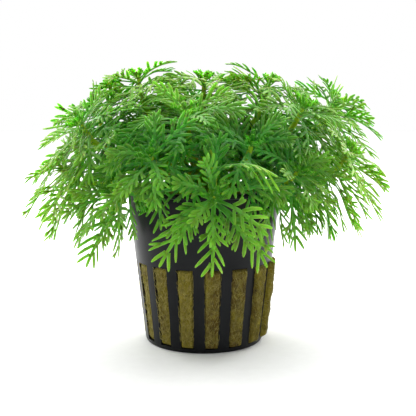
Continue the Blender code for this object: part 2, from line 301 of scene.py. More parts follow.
def slot_half_width(height):
    """The slots widen upwards, because the bars between them keep their width."""
    return (2 * math.pi * outer_radius(height) / SLOT_COUNT - BAR_WIDTH) / 2


class Leaf:
    """A leaf's midrib: it leaves the stem at an angle and is pulled down along its length."""

    def __init__(self, base, outward, axis, length, draw):
        self.length = length * draw.uniform(*LENGTH_VARIES)
        rise = math.radians(draw.uniform(*RISE_VARIES)) + draw.rise
        droop = draw.droop * draw.uniform(*DROOP_VARIES)
        self.swing = draw.uniform(*SWING_VARIES)
        self.roll = math.radians(draw.uniform(*ROLL_VARIES))
        self.start = outward * math.cos(rise) + axis * math.sin(rise)
        self.droop = droop * (1 - UPRIGHT_DROOP_LOST * max(self.start.z, 0) ** 3)
        self.face = axis * math.cos(rise) - outward * math.sin(rise)
        self.across = self.start.cross(self.face)
        self.points = [base]
        for i in range(LINE_STEPS):
            step = self.direction((i + 0.5) / LINE_STEPS) * self.length / LINE_STEPS
            self.points.append(self.points[-1] + step)

    def direction(self, t):
        return (self.start + self.across * self.swing * t - UP * self.droop * t).normalized()

    def place(self, along, aside, above):
        """The point this far along the midrib, aside of it and above it, in metres."""
        t = along / self.length
        i = min(int(t * LINE_STEPS), LINE_STEPS - 1)
        point = self.points[i].lerp(self.points[i + 1], t * LINE_STEPS - i)
        forward = self.direction(t)
        side = forward.cross(self.face).normalized()
        face = side.cross(forward)
        turned = side * math.cos(self.roll) + face * math.sin(self.roll)
        return point + turned * aside + turned.cross(forward) * above

    def ball(self):
        """The middle and the radius of a ball that holds the leaf."""
        return self.points[LINE_STEPS // 2], self.length * LEAF_REACH


class Draw(random.Random):
    """The random draws of one try at one leaf, the same on every run."""

    def __init__(self, leaf_number, attempt, rise, droop):
        super().__init__(leaf_number * TRIES + attempt)
        self.rise = rise
        self.droop = droop


def add_leaf(bm, foot, leaf, lobes, thickness):
    """Joins a leaf's solid to four foot vertices: left low, right low, right high, left high."""
    first, last = STALK_END * leaf.length, LOBES_END * leaf.length
    spacing = (last - first) / lobes
    reach = LOBE_LENGTH * leaf.length
    edges = {-1: [], 1: []}
    ridge = []
    for j in range(lobes + 1):
        share = j / lobes
        along = first + spacing * j
        half = RIB_HALF_WIDTH + (RIB_HALF_WIDTH_END - RIB_HALF_WIDTH) * share
        ridge.append(bm.verts.new(leaf.place(along, 0, thickness)))
        for way in edges:
            edges[way].append(bm.verts.new(leaf.place(along, way * half, 0)))
    left_low, right_low, right_high, left_high = foot
    left, right = edges[1], edges[-1]
    bm.faces.new((left_low, right_low, right[0], left[0]))
    bm.faces.new((right_low, right_high, right[0]))
    bm.faces.new((right_high, ridge[0], right[0]))
    bm.faces.new((right_high, left_high, ridge[0]))
    bm.faces.new((left_high, left[0], ridge[0]))
    bm.faces.new((left_high, left_low, left[0]))
    for j in range(lobes):
        bm.faces.new((left[j], right[j], right[j + 1], left[j + 1]))
        stretch = reach * (1 - 0.35 * j / lobes)
        along = first + spacing * (j + 0.5) + stretch * math.cos(LOBE_ANGLE)
        aside = RIB_HALF_WIDTH_END + stretch * math.sin(LOBE_ANGLE)
        for way, edge in edges.items():
            tip = bm.verts.new(leaf.place(min(along, leaf.length), way * aside, 0))
            bm.faces.new((edge[j], tip, edge[j + 1]))
            bm.faces.new((ridge[j], edge[j], tip))
            bm.faces.new((ridge[j], tip, edge[j + 1]))
            bm.faces.new((ridge[j], edge[j + 1], ridge[j + 1]))
    end = bm.verts.new(leaf.place(leaf.length, 0, 0))
    bm.faces.new((left[-1], right[-1], end))
    bm.faces.new((ridge[-1], left[-1], end))
    bm.faces.new((ridge[-1], right[-1], end))


def meets_pot(point):
    """Whether a point is in the pot or nearly touches it."""
    radius = outer_radius(min(point.z, POT_HEIGHT)) + LIP_WIDTH + POT_CLEARANCE
    return point.z < POT_HEIGHT + POT_CLEARANCE and math.hypot(point.x, point.y) < radius


def leaf_probe(leaf, lobes, start):
    """A thicker copy of the leaf from this far along it, for finding a place where it crosses nothing.

    None where it would meet the pot.
    """
    bm = bmesh.new()
    half = RIB_HALF_WIDTH
    low, high = PROBE_LOW, RIB_THICKNESS
    corners = ((half, low), (-half, low), (-half, high), (half, high))
    foot = [bm.verts.new(leaf.place(start, aside, above)) for aside, above in corners]
    add_leaf(bm, foot, leaf, lobes, RIB_THICKNESS + PROBE_THICKER)
    tree = None if any(meets_pot(vert.co) for vert in bm.verts) else BVHTree.FromBMesh(bm)
    bm.free()
    return tree


class Space:
    """What stands in the plant's space so far."""

    def __init__(self):
        self.taken = []

    def add(self, centre, reach, tree, owner):
        self.taken.append((centre, reach, tree, owner))

    def is_free(self, centre, reach, tree, owner):
        for other_centre, other_reach, other, other_owner in self.taken:
            near = (centre - other_centre).length < reach + other_reach
            own = owner is not None and other_owner is owner
            if near and not own and tree.overlap(other):
                return False
        return True

    def settle(self, leaf_of, lobes, owner):
        """The first try at a leaf that crosses nothing, or None. Its owner is the shoot it is fused to."""
        for attempt in range(TRIES):
            leaf = leaf_of(attempt)
            centre, reach = leaf.ball()
            tree = leaf_probe(leaf, lobes, PROBE_START if owner else 0)
            if tree and self.is_free(centre, reach, tree, owner):
                self.add(centre, reach, tree, None)
                return leaf
        return None


class Shoot:
    """A stem from the rock wool to its crown, with the rings of vertices that its leaves grow from."""

    def __init__(self, number, foot, crown, facing, leaf_length):
        self.number = number
        self.axis = Vector(facing).normalized()
        self.leaf_length = leaf_length * MM
        self.crown = Vector(crown) * MM
        tiers_foot = self.crown - self.axis * len(TIERS) * TIER_HEIGHT
        self.handles = [foot, foot + UP * STEM_RISE, tiers_foot - self.axis * STEM_BEND * MM, tiers_foot]
        while not self.clears_rim():
            self.handles[2] += UP * MM
        across = self.axis.cross(UP if abs(self.axis.z) < 0.99 else Vector((0, 1, 0)))
        self.across = across.normalized()
        self.leaves = {}
        self.fill = []

    def middle(self, t):
        """The stem's middle line, a cubic curve."""
        a, b, c, d = self.handles
        s = 1 - t
        return a * s**3 + b * 3 * s * s * t + c * 3 * s * t * t + d * t**3

    def clears_rim(self):
        for i in range(RIM_STEPS + 1):
            point = self.middle(i / RIM_STEPS)
            from_rim = abs(math.hypot(point.x, point.y) - POT_RIM_RADIUS)
            if from_rim < RIM_NEARBY and point.z < POT_HEIGHT + RIM_CLEARANCE:
                return False
        return True

    def heading(self, t):
        step = 0.01
        return (self.middle(t + step) - self.middle(t - step)).normalized()

    def hexagon(self, centre, heading, radius):
        """Corners round the stem, counter-clockwise from above, turned so that rings don't twist."""
        second = heading.cross(self.across).normalized()
        first = second.cross(heading)
        turn = self.number * TURN_PER_SHOOT
        angles = [turn + math.tau * i / STEM_SIDES for i in range(STEM_SIDES)]
        return [centre + (first * math.cos(a) + second * math.sin(a)) * radius for a in angles]

    def outward(self, face):
        """The way out of the stem through the middle of one of its six sides, at the crown."""
        second = self.axis.cross(self.across).normalized()
        first = second.cross(self.axis)
        angle = self.number * TURN_PER_SHOOT + math.tau * (face + 0.5) / STEM_SIDES
        return first * math.cos(angle) + second * math.sin(angle)

    def rings(self):
        """Rings of points from the foot to the top of the upper tier of leaves."""
        found = []
        for i in range(STEM_RINGS):
            t = i / (STEM_RINGS - 1)
            radius = STEM_FOOT_RADIUS + (STEM_TIP_RADIUS - STEM_FOOT_RADIUS) * t
            heading = UP if i == 0 else self.axis if i == STEM_RINGS - 1 else self.heading(t)
            found.append(self.hexagon(self.middle(t), heading, radius))
        for tier in range(len(TIERS)):
            centre = self.handles[3] + self.axis * TIER_HEIGHT * (tier + 1)
            found.append(self.hexagon(centre, self.axis, STEM_TIP_RADIUS))
        return found

    def tree(self):
        """The bare stem with its bud, to keep leaves from crossing it."""
        bm = bmesh.new()
        rings = [[bm.verts.new(point) for point in ring] for ring in self.rings()]
        bm.faces.new(rings[0])
        for lower, upper in zip(rings, rings[1:]):
            for i in range(STEM_SIDES):
                j = (i + 1) % STEM_SIDES
                bm.faces.new((lower[i], lower[j], upper[j], upper[i]))
        bud = bm.verts.new(self.crown + self.axis * BUD_HEIGHT)
        top = rings[-1]
        for i in range(STEM_SIDES):
            bm.faces.new((top[i], top[(i + 1) % STEM_SIDES], bud))
        tree = BVHTree.FromBMesh(bm)
        bm.free()
        return tree

    def fused_leaf(self, tier, face, attempt):
        rise, share, droop, _ = TIERS[tier]
        draw = Draw((self.number * 3 + tier) * 6 + face, attempt, math.radians(rise), droop)
        outward = self.outward(face)
        centre = self.handles[3] + self.axis * TIER_HEIGHT * (tier + 0.5)
        inside = math.cos(math.pi / STEM_SIDES) * STEM_TIP_RADIUS
        return Leaf(centre + outward * inside, outward, self.axis, self.leaf_length * share, draw)

    def loose_leaf(self, index, attempt):
        """A leaf of its own below the crown, its foot a gap away from the stem."""
        draw = Draw(LOOSE_SEED + self.number * 6 + index, attempt, LOOSE_RISE, LOOSE_DROOP)
        t = 1 - (LOOSE_DROP + LOOSE_STEP * index) / (self.handles[3] - self.handles[0]).length
        outward = self.outward(index * 2 + 0.4 * self.number + attempt * LOOSE_TRY_TURN)
        heading = self.heading(t)
        outward = (outward - heading * outward.dot(heading)).normalized()
        base = self.middle(t) + outward * (STEM_FOOT_RADIUS + GAP)
        return Leaf(base, outward, heading, self.leaf_length * LOOSE_LENGTH, draw)


def ring_of_shoots(table, radius, first_number):
    """Sets the feet of a ring of shoots evenly round the pot, in the order of their crowns."""
    start = math.atan2(table[0][0][1], table[0][0][0])
    shoots = []
    for i, row in enumerate(table):
        angle = start + math.tau * i / len(table)
        foot = Vector((math.cos(angle) * radius, math.sin(angle) * radius, WOOL_TOP + GAP))
        shoots.append(Shoot(first_number + i, foot, *row))
    return shoots


def fill_leaf(shoot, index, attempt):
    """A leaf of the crown or the stem below it: the lower it stands, the less it rises.

    Round a low crown, by the pot's wall, each new try stands up more and is shorter.
    """
    share = index / FILL_LEAVES
    tried = attempt / FILL_TRIES if shoot.crown.z < LOW_CROWN else 0
    rise = math.radians(FILL_RISE - FILL_RISE_LOST * share + LOW_CROWN_LIFT * tried)
    rule = Draw(FILL_SEED + shoot.number * 40 + index, attempt, rise, FILL_DROOP)
    above = len(TIERS) * TIER_HEIGHT - FILL_DEPTH * share
    if above > 0:
        middle, heading = shoot.handles[3] + shoot.axis * above, shoot.axis
    else:
        t = 1 + above / (shoot.handles[3] - shoot.handles[0]).length
        middle, heading = shoot.middle(t), shoot.heading(t)
    outward = shoot.outward(index * FILL_TURN + attempt * FILL_TRY_TURN)
    outward = (outward - heading * outward.dot(heading)).normalized()
    size = min(1.0, FILL_SIZE + FILL_SIZE_GAINED * share) * (1 - LOW_CROWN_SIZE_LOST * tried)
    return Leaf(middle + outward * STEM_TIP_RADIUS, outward, heading, shoot.leaf_length * size, rule)


def ribbon_of(leaf):
    """A narrow ribbon along a leaf, for finding its place. None where it meets the pot or leaves the box."""
    stations = [leaf.length * k / RIBBON_STATIONS for k in range(1, RIBBON_STATIONS + 1)]
    low, high = cad_box
    for along in stations[1:]:
        for aside in (-RIBBON_SPREAD, 0, RIBBON_SPREAD):
            place = leaf.place(along, aside * leaf.length, 0)
            inside = all(low[k] + RIBBON_MARGIN < place[k] < high[k] - RIBBON_MARGIN for k in range(3))
            if meets_pot(place) or not inside or place.z < LOWEST_TIP:
                return None
    points = []
    for along in stations:
        points += [leaf.place(along, way * RIBBON_HALF_WIDTH, RIBBON_LIFT) for way in (-1, 1)]
    faces = [(2 * k, 2 * k + 1, 2 * k + 3, 2 * k + 2) for k in range(len(stations) - 1)]
    return BVHTree.FromPolygons(points, faces)


def fill_gaps(shoots, space):
    """Gives each shoot in turn the first try at a further leaf that crosses nothing."""
    for index in range(FILL_LEAVES):
        for shoot in shoots:
            for attempt in range(FILL_TRIES):
                leaf = fill_leaf(shoot, index, attempt)
                ribbon = ribbon_of(leaf)
                centre, reach = leaf.ball()
                if ribbon and space.is_free(centre, reach, ribbon, shoot):
                    space.add(centre, reach, ribbon, None)
                    shoot.fill.append(leaf)
                    break


def grow():
    """The shoots with their fused and fill leaves, and the loose leaves with their shoots, by node name."""
    outer = ring_of_shoots(OUTER_SHOOTS, OUTER_RING, 1)
    inner = ring_of_shoots(INNER_SHOOTS, INNER_RING, 1 + len(OUTER_SHOOTS))
    shoots = outer + inner
    space = Space()
    everywhere = 1.0
    for shoot in shoots:
        space.add(Vector(), everywhere, shoot.tree(), shoot)
    for shoot in shoots:
        for tier in reversed(range(len(TIERS))):
            for face in range(tier % 2, STEM_SIDES, 2):
                leaf = space.settle(lambda k: shoot.fused_leaf(tier, face, k), TIERS[tier][3], shoot)
                if leaf:
                    shoot.leaves[tier, face] = leaf
    loose = {}
    for index in (0, 1, 2):
        for shoot in shoots:
            if len(loose) == LOOSE_LEAVES:
                break
            leaf = space.settle(lambda k: shoot.loose_leaf(index, k), LOBES, None)
            if leaf:
                loose[f"leaf_{shoot.number:02d}_{'abc'[index]}"] = (shoot, leaf)
    fill_gaps(shoots, space)
    return shoots, loose


def painted_light_share(point):
    """How much painted light a point of the plant gets, from 0 to 1: the farther out, higher or lower it
    stands the more, and less at the back.
    """
    out = (math.hypot(point.x, point.y) - PALE_FROM_RADIUS) / PALE_REACH
    high = (point.z - PALE_FROM_HEIGHT) / PALE_REACH
    low = (PALE_BELOW_HEIGHT - point.z) / PALE_REACH
    shaded = min(max((point.y - SHADE_FROM) / SHADE_REACH, 0.0), 1.0)
    return min(max(out, high, low, 0.0), 1.0) * (1 - SHADE_DEPTH * shaded)


class Blade:
    """Collects the vertices, faces and shading values of many leaves, for one mesh."""

    def __init__(self):
        self.points = []
        self.faces = []
        self.tone_and_painted_light = []
        self.edge = []
        self.youth = []

    def tube(self, rings, tip, tone_and_painted_light, edge, youth):
        """A closed strip of rings of points, ending in one tip point."""
        first = len(self.points)
        count = len(rings[0])
        for k, ring in enumerate(rings):
            self.points.extend(ring)
            self.edge.extend([edge[k]] * count)
        self.points.append(tip)
        self.edge.append(edge[-1])
        total = len(rings) * count + 1
        self.tone_and_painted_light.extend([tone_and_painted_light] * total)
        self.youth.extend([youth] * total)
        self.faces.append(tuple(first + i for i in reversed(range(count))))
        last = first + (len(rings) - 1) * count
        for start in range(first, last, count):
            self.faces += ring_faces(start, count)
        self.faces += fan_faces(last, count, last + count)

    def mesh(self, name):
        mesh = smooth_mesh(name, self.points, self.faces)
        # Painted light: how much each point is painted paler as if backlit.
        painted_light = [painted_light_share(p) for p in self.points]
        for label, values in (("tone_and_painted_light", self.tone_and_painted_light), ("edge", self.edge), ("youth", self.youth), ("painted_light", painted_light)):
            layer = mesh.attributes.new(label, "FLOAT", "POINT")
            layer.data.foreach_set("value", values)
        return mesh


class LeafShape:
    """How one leaf differs from the next: its curl, fold, tone with its shoot's painted backlight, and the
    way its lobes spread.
    """

    def __init__(self, leaf, seed, pale, youth=0.0, scale=1.0):
        draw = random.Random(seed)
        self.leaf = leaf
        self.draw = draw
        self.scale = scale
        self.thickness = BLADE_THICKNESS * (0.5 + 0.5 * scale)
        # Painted light: a shoot's painted backlight is added to the leaf's own random tone.
        self.tone_and_painted_light = draw.random() + pale
        self.youth = youth
        self.fold = draw.uniform(*FOLD)
        self.curl = draw.uniform(*CURL) * MM * scale
        self.wave = draw.uniform(0, math.tau)
        self.twist = draw.uniform(*TWIST)

    def point(self, along, aside, above):
        """A point of the blade, with its twist, the fold along its midrib and the curl of its lobes.

        It is kept inside the box of the solids.
        """
        length = self.leaf.length
        far = abs(aside) / (0.2 * length)
        lift = abs(aside) * self.fold + self.curl * far * far
        wave = self.wave + along / length * 9 + aside / length * 14
        lift += WAVE_HEIGHT * self.scale * math.sin(wave)
        turn = self.twist * along / length
        place = self.leaf.place(along, aside * math.cos(turn), above + lift + aside * math.sin(turn))
        low, high = cad_box
        return Vector(min(max(place[k], low[k] + BOX_MARGIN), high[k] - BOX_MARGIN) for k in range(3))

    def strip(self, blade, line, widths, thickness, edge):
        """A strip along a line of (along, aside) points, with a low ridge down its middle."""
        rings = []
        for k, (along, aside) in enumerate(line):
            before, after = line[max(k - 1, 0)], line[min(k + 1, len(line) - 1)]
            run, rise = after[0] - before[0], after[1] - before[1]
            size = math.hypot(run, rise)
            run, rise = run / size, rise / size
            half = widths[k]
            thick = thickness * min(1, 0.45 + half / (LOBE_HALF_WIDTH * self.scale) * 0.6)
            ring = []
            for across, above in STRIP_SECTION:
                out = half * across
                ring.append(self.point(along - rise * out, aside + run * out, thick * above))
            rings.append(ring)
        tip_along = line[-1][0] + run * widths[-1] * 0.6
        tip_aside = line[-1][1] + rise * widths[-1] * 0.6
        blade.tube(rings, self.point(tip_along, tip_aside, 0), self.tone_and_painted_light, edge, self.youth)

    def lobe(self, blade, start, way, length, angle, half, level=0):
        """One finger of the blade, bending forward, some with a side finger of their own."""
        bend = self.draw.uniform(0.05, 0.4)
        line, widths, edge = [], [], []
        along, aside = start
        reached = 0
        for u, width in LOBE_STATIONS:
            heading = angle * (1 - bend * u)
            along += math.cos(heading) * (u - reached) * length
            aside += way * math.sin(heading) * (u - reached) * length
            reached = u
            line.append((along, aside))
            widths.append(half * width)
            edge.append(0.25 + 0.75 * u if level == 0 else 0.7 + 0.3 * u)
        self.strip(blade, line, widths, self.thickness, edge)
        long_enough = level == 0 and length > FORKED_FROM * self.scale
        if long_enough and self.draw.random() < FORKED_SHARE:
            turn = angle * (1 - bend / 2) + self.draw.uniform(0.5, 0.75)
            self.lobe(blade, line[2], way, length * self.draw.uniform(0.36, 0.48), turn, half * 0.9, 1)

    def add_to(self, blade):
        """The midrib and its pairs of lobes, longest in the middle of the leaf."""
        draw = self.draw
        length = self.leaf.length
        first, last = STALK_END * length, LOBES_END * length
        spacing = (last - first) / (FINE_LOBES - 0.5)
        lobe_half = LOBE_HALF_WIDTH * self.scale
        line = [(share * length, 0.0) for share, width in RIB_STATIONS]
        rib = [lobe_half * width for share, width in RIB_STATIONS]
        edge = [max(0.0, (share - RIB_TIP_FROM) * 3) for share, width in RIB_STATIONS]
        self.strip(blade, line, rib, self.thickness * RIB_THICKER, edge)
        for j in range(FINE_LOBES):
            share = j / (FINE_LOBES - 1)
            reach = FINE_LOBE_LENGTH * length * (0.85 + 0.5 * share - 0.65 * share * share)
            for way in (-1, 1):
                along = first + spacing * (j + draw.uniform(-0.16, 0.16) + (0.2 if way > 0 else 0))
                size = reach * draw.uniform(0.82, 1.12)
                angle = math.radians(draw.uniform(40, 54) - 14 * share)
                start = (along + LOBE_ROOT * lobe_half, way * LOBE_ROOT * lobe_half)
                half = lobe_half * draw.uniform(0.85, 1.1)
                self.lobe(blade, start, way, size - lobe_half, angle, half)


def painted_backlight_of(shoot):
    """How much painted backlight makes a shoot's leaves paler than the rest."""
    return PAINTED_BACKLIGHT_SHOOTS.get(shoot.number, 0.0)


def young_leaves(shoot, blade):
    """The small upright leaves curled over the bud."""
    draw = random.Random(YOUNG_SEED + shoot.number)
    for k in range(YOUNG_LEAVES):
        outward = shoot.outward(k * YOUNG_TURN)
        youth = 1 - k / YOUNG_LEAVES
        size = (YOUNG_SIZE + YOUNG_SIZE_GAINED * k / YOUNG_LEAVES) * MM
        rise = math.radians(draw.uniform(*YOUNG_RISE) - YOUNG_RISE_LOST * k / YOUNG_LEAVES)
        rule = Draw(YOUNG_LEAF_SEED + shoot.number * 20 + k, 0, rise, YOUNG_DROOP)
        base = shoot.crown + shoot.axis * (0.4 * MM) + outward * 0.35 * MM
        leaf = Leaf(base, outward, shoot.axis, size, rule)
        seed = YOUNG_SHAPE_SEED + shoot.number * 20 + k
        shape = LeafShape(leaf, seed, painted_backlight_of(shoot), 0.5 + 0.5 * youth, 0.36 + 0.03 * k)
        shape.curl = 0.9 * MM * shape.scale
        shape.add_to(blade)


def stem_ring(centre, first, second, radius, ribs):
    """Points round the stem; ribs is how far its six ribs stand out, as a share of the radius."""
    ring = []
    for i in range(FINE_STEM_SIDES):
        angle = math.tau * i / FINE_STEM_SIDES
        out = radius * (1 + ribs * math.cos(6 * angle))
        ring.append(centre + (first * math.cos(angle) + second * math.sin(angle)) * out)
    return ring


def stem_into(shoot, blade):
    """The fleshy stem, a little swollen and ribbed, up to the bud."""
    rings = []
    for k in range(FINE_STEM_RINGS + 1):
        t = k / FINE_STEM_RINGS
        radius = STEM_FOOT_RADIUS + (STEM_TIP_RADIUS - STEM_FOOT_RADIUS) * t
        radius *= 1 + 0.05 * math.sin(t * 23 + shoot.number)
        heading = UP if k == 0 else shoot.axis if k == FINE_STEM_RINGS else shoot.heading(t)
        second = heading.cross(shoot.across).normalized()
        rings.append(stem_ring(shoot.middle(t), second.cross(heading), second, radius, 0.05))
    second = shoot.axis.cross(shoot.across).normalized()
    first = second.cross(shoot.axis)
    for k in range(1, CROWN_RINGS + 1):
        height = TIER_HEIGHT * len(TIERS) * k / CROWN_RINGS
        radius = STEM_TIP_RADIUS * (1 - 0.25 * (k / CROWN_RINGS) ** 2)
        rings.append(stem_ring(shoot.handles[3] + shoot.axis * height, first, second, radius, 0.0))
    edge = [0.0] * len(rings)
    blade.tube(rings, shoot.crown + shoot.axis * BUD_HEIGHT * 0.6, STEM_TONE, edge, STEM_YOUTH)


def link(obj):
    bpy.context.scene.collection.objects.link(obj)


def piece(name, mesh, material, slot, *nodes):
    """A finished piece that rides with the plant and stands for the named solids."""
    obj = bpy.data.objects.new(name, mesh)
    link(obj)
    mesh.materials.clear()
    mesh.materials.append(material)
    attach(obj, "root")
    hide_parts(*nodes)
    return obj


class Nodes:
    """Short calls for building one material's node tree."""

    def __init__(self, name):
        self.material = bpy.data.materials.new(name)
        self.material.use_nodes = True
        self.tree = self.material.node_tree
        self.shader = self.tree.nodes["Principled BSDF"]

    def add(self, kind, values=None, **settings):
        node = self.tree.nodes.new(kind)
        for key, value in settings.items():
            setattr(node, key, value)
        for key, value in (values or {}).items():
            self.put(node.inputs[key], value)
        return node

    def put(self, socket, value):
        if isinstance(value, bpy.types.NodeSocket):
            self.tree.links.new(value, socket)
        else:
            socket.default_value = value

    def noise(self, vector, scale, detail=3.0, roughness=0.55):
        values = {"Vector": vector, "Scale": scale, "Detail": detail, "Roughness": roughness}
        return self.add("ShaderNodeTexNoise", values).outputs[0]

    def math(self, operation, a, b=0.0):
        return self.add("ShaderNodeMath", {0: a, 1: b}, operation=operation).outputs[0]

    def spread(self, value, low, high, to_low=0.0, to_high=1.0):
        values = {"Value": value, "From Min": low, "From Max": high, "To Min": to_low, "To Max": to_high}
        return self.add("ShaderNodeMapRange", values).outputs[0]

    def mix(self, factor, a, b):
        return self.add("ShaderNodeMix", {0: factor, 6: a, 7: b}, data_type="RGBA").outputs[2]

    def attribute(self, label):
        return self.add("ShaderNodeAttribute", attribute_name=label).outputs["Fac"]

    def bump(self, height, distance, strength=1.0):
        values = {"Height": height, "Distance": distance, "Strength": strength}
        return self.add("ShaderNodeBump", values).outputs[0]

    def position(self):
        return self.add("ShaderNodeTexCoord").outputs["Object"]

    def set(self, **values):
        for key, value in values.items():
            self.put(self.shader.inputs[key.replace("_", " ")], value)


def leaf_material():
    """Fresh green that glows where light comes through, paler on the midribs, straw-coloured on the stems,
    and painted paler as if lit from behind on outer leaves and some shoots.
    """
    n = Nodes("leaf_green")
    place = n.position()
    tone_and_painted_light, edge, youth, painted_light = (n.attribute(label) for label in ("tone_and_painted_light", "edge", "youth", "painted_light"))
    broad = n.noise(place, 45)
    fine = n.noise(place, 900, 2)
    deep, fresh = (0.018, 0.148, 0.012, 1), (0.042, 0.252, 0.020, 1)
    lime, straw = (0.36, 0.56, 0.065, 1), (0.33, 0.52, 0.04, 1)
    midrib = (0.110, 0.380, 0.080, 1)
    colour = n.mix(n.spread(n.math("ADD", tone_and_painted_light, broad), 0.65, 1.35), deep, fresh)
    colour = n.mix(n.spread(edge, 0.4, 1.0, 0.0, 0.14), colour, lime)
    colour = n.mix(n.spread(edge, 0.0, 0.4, 0.6, 0.0), colour, midrib)
    # Painted light: tone above 1 comes only from a shoot's painted backlight and mixes its leaves towards
    # lime.
    colour = n.mix(n.spread(tone_and_painted_light, 1.0, 1.8, 0.0, 0.8), colour, lime)
    # Painted light: leaves that stand far out, high or low are mixed towards lime as if lit through from
    # behind.
    colour = n.mix(n.math("MULTIPLY", painted_light, 0.65), colour, lime)
    colour = n.mix(n.spread(youth, 0.0, 1.0, 0.0, 0.3), colour, fresh)
    colour = n.mix(n.spread(youth, 1.0, 2.0), colour, straw)
    colour = n.mix(n.spread(fine, 0.45, 0.7, 0.0, 0.25), colour, n.mix(0.5, colour, lime))
    rough = n.spread(fine, 0.3, 0.7, 0.45, 0.62)
    n.set(Base_Color=colour, Roughness=rough, Normal=n.bump(fine, 0.00012, 0.6))
    n.set(Specular_IOR_Level=0.22, Subsurface_Weight=1.0, Subsurface_Scale=LEAF_GLOW)
    n.set(Subsurface_Radius=(0.6, 1.0, 0.3), Subsurface_Anisotropy=0.8)
    return n.material


def pot_material():
    """Black moulded plastic, a little cloudy, with scuffs in patches."""
    n = Nodes("black_plastic")
    place = n.position()
    cloudy = n.noise(place, 60, 4)
    grain = n.noise(place, 2500, 2)
    scuffs = n.spread(n.noise(place, 900, 4, 0.7), 0.66, 0.74)
    patchy = n.spread(n.noise(place, 150, 2), 0.5, 0.62)
    black, dark, worn = (0.0036, 0.0042, 0.0048, 1), (0.0082, 0.0094, 0.0105, 1), (0.045, 0.052, 0.056, 1)
    colour = n.mix(n.spread(cloudy, 0.4, 0.6), black, dark)
    colour = n.mix(n.math("MULTIPLY", scuffs, n.math("MULTIPLY", patchy, 0.8)), colour, worn)
    rough = n.math("ADD", n.spread(cloudy, 0.35, 0.7, 0.28, 0.45), n.math("MULTIPLY", scuffs, 0.2))
    n.set(Base_Color=colour, Roughness=rough, Normal=n.bump(grain, 0.00004, 0.5))
    n.set(Specular_IOR_Level=0.13)
    return n.material


def wool_colour(n, place):
    """Olive felt with straw-coloured clumps, and browner towards the front right."""
    brown, olive, straw = (0.086, 0.054, 0.012, 1), (0.200, 0.162, 0.019, 1), (0.310, 0.262, 0.050, 1)
    across = n.add("ShaderNodeSeparateXYZ", {"Vector": place}).outputs["X"]
    aside = n.math("ABSOLUTE", n.math("SUBTRACT", across, 7 * MM))
    patches = n.math("ADD", n.noise(place, 110, 3), n.spread(aside, 0.0, 12 * MM, 0.2, -0.06))
    clumps = n.noise(place, 420, 4, 0.65)
    colour = n.mix(n.spread(patches, 0.5, 0.68, 0.0, 0.85), olive, brown)
    return n.mix(n.spread(clumps, 0.45, 0.68, 0.0, 0.6), colour, straw)


def wool_material():
    """Felted mineral fibres with a nap that lies in two directions, with painted shade between its strands
    and in its dark pits.
    """
    n = Nodes("mineral_wool")
    place = n.position()
    leaning = {"Vector": place, "Rotation": (0.5, 0.6, 0.2), "Scale": (1, 1, 0.35)}
    slanting = {"Vector": place, "Rotation": (-0.8, -0.7, 0.4), "Scale": (1, 1, 0.3)}
    strands = n.noise(n.add("ShaderNodeMapping", leaning).outputs[0], 1500, 4, 0.75)
    crossing = n.noise(n.add("ShaderNodeMapping", slanting).outputs[0], 1300, 4, 0.75)
    pits = n.noise(place, 650, 3, 0.6)
    shadow, pale, pit_shade = (0.050, 0.036, 0.010, 1), (0.400, 0.345, 0.090, 1), (0.020, 0.013, 0.006, 1)
    colour = wool_colour(n, place)
    colour = n.mix(n.spread(strands, 0.32, 0.5, 0.5, 0.0), colour, shadow)
    colour = n.mix(n.spread(crossing, 0.5, 0.7, 0.0, 0.5), colour, pale)
    # Painted shade: the pits are darkened as shade in hollows.
    colour = n.mix(n.spread(pits, 0.3, 0.4, 0.75, 0.0), colour, pit_shade)
    height = n.math("ADD", strands, n.math("ADD", crossing, pits))
    n.set(Base_Color=colour, Roughness=0.95, Normal=n.bump(height, 0.0005, 0.9))
    n.set(Specular_IOR_Level=0.12)
    return n.material


def fibre_material():
    """Single mineral fibres, glassy and paler than the felt."""
    n = Nodes("mineral_fibre")
    place = n.position()
    pale = (0.400, 0.340, 0.085, 1)
    colour = n.mix(n.spread(n.noise(place, 800, 2), 0.35, 0.65), wool_colour(n, place), pale)
    n.set(Base_Color=colour, Roughness=n.spread(n.noise(place, 3000, 1), 0.3, 0.7, 0.4, 0.6))
    n.set(Specular_IOR_Level=0.4)
    return n.material


def pot_profile():
    """The pot's outside from the floor to the rim as (radius, height), and the slots' first and last row."""
    foot, lip = POT_FOOT_RADIUS, POT_RIM_RADIUS + LIP_WIDTH
    low = [(foot * 0.35, 0.0), (foot * 0.7, 0.0), (foot - 0.55 * MM, 0.0)]
    low += [(foot - 0.16 * MM, 0.15 * MM), (foot, 0.55 * MM)]
    band = [SLOT_BOTTOM + (SLOT_TOP - SLOT_BOTTOM) * k / SLOT_ROWS for k in range(SLOT_ROWS + 1)]
    top = POT_HEIGHT - LIP_HEIGHT
    upper = [SLOT_TOP + (top - SLOT_TOP) * k / WALL_ROWS for k in range(1, WALL_ROWS + 1)]
    profile = low + [(outer_radius(h), h) for h in band + upper]
    profile += [(lip - 0.1 * MM, top + 0.25 * MM), (lip, top + 0.5 * MM), (lip, POT_HEIGHT - 0.3 * MM)]
    profile += [(lip - 0.12 * MM, POT_HEIGHT - 0.08 * MM), (lip - 0.35 * MM, POT_HEIGHT)]
    profile += [(POT_RIM_RADIUS - POT_WALL, POT_HEIGHT)]
    return profile, len(low), len(low) + SLOT_ROWS


def slot_half_angle(height):
    """Half the angle that a slot takes up at a height. Beyond the slots it is that of their nearer end."""
    inside_band = min(max(height, SLOT_BOTTOM), SLOT_TOP)
    return slot_half_width(inside_band) / outer_radius(inside_band)


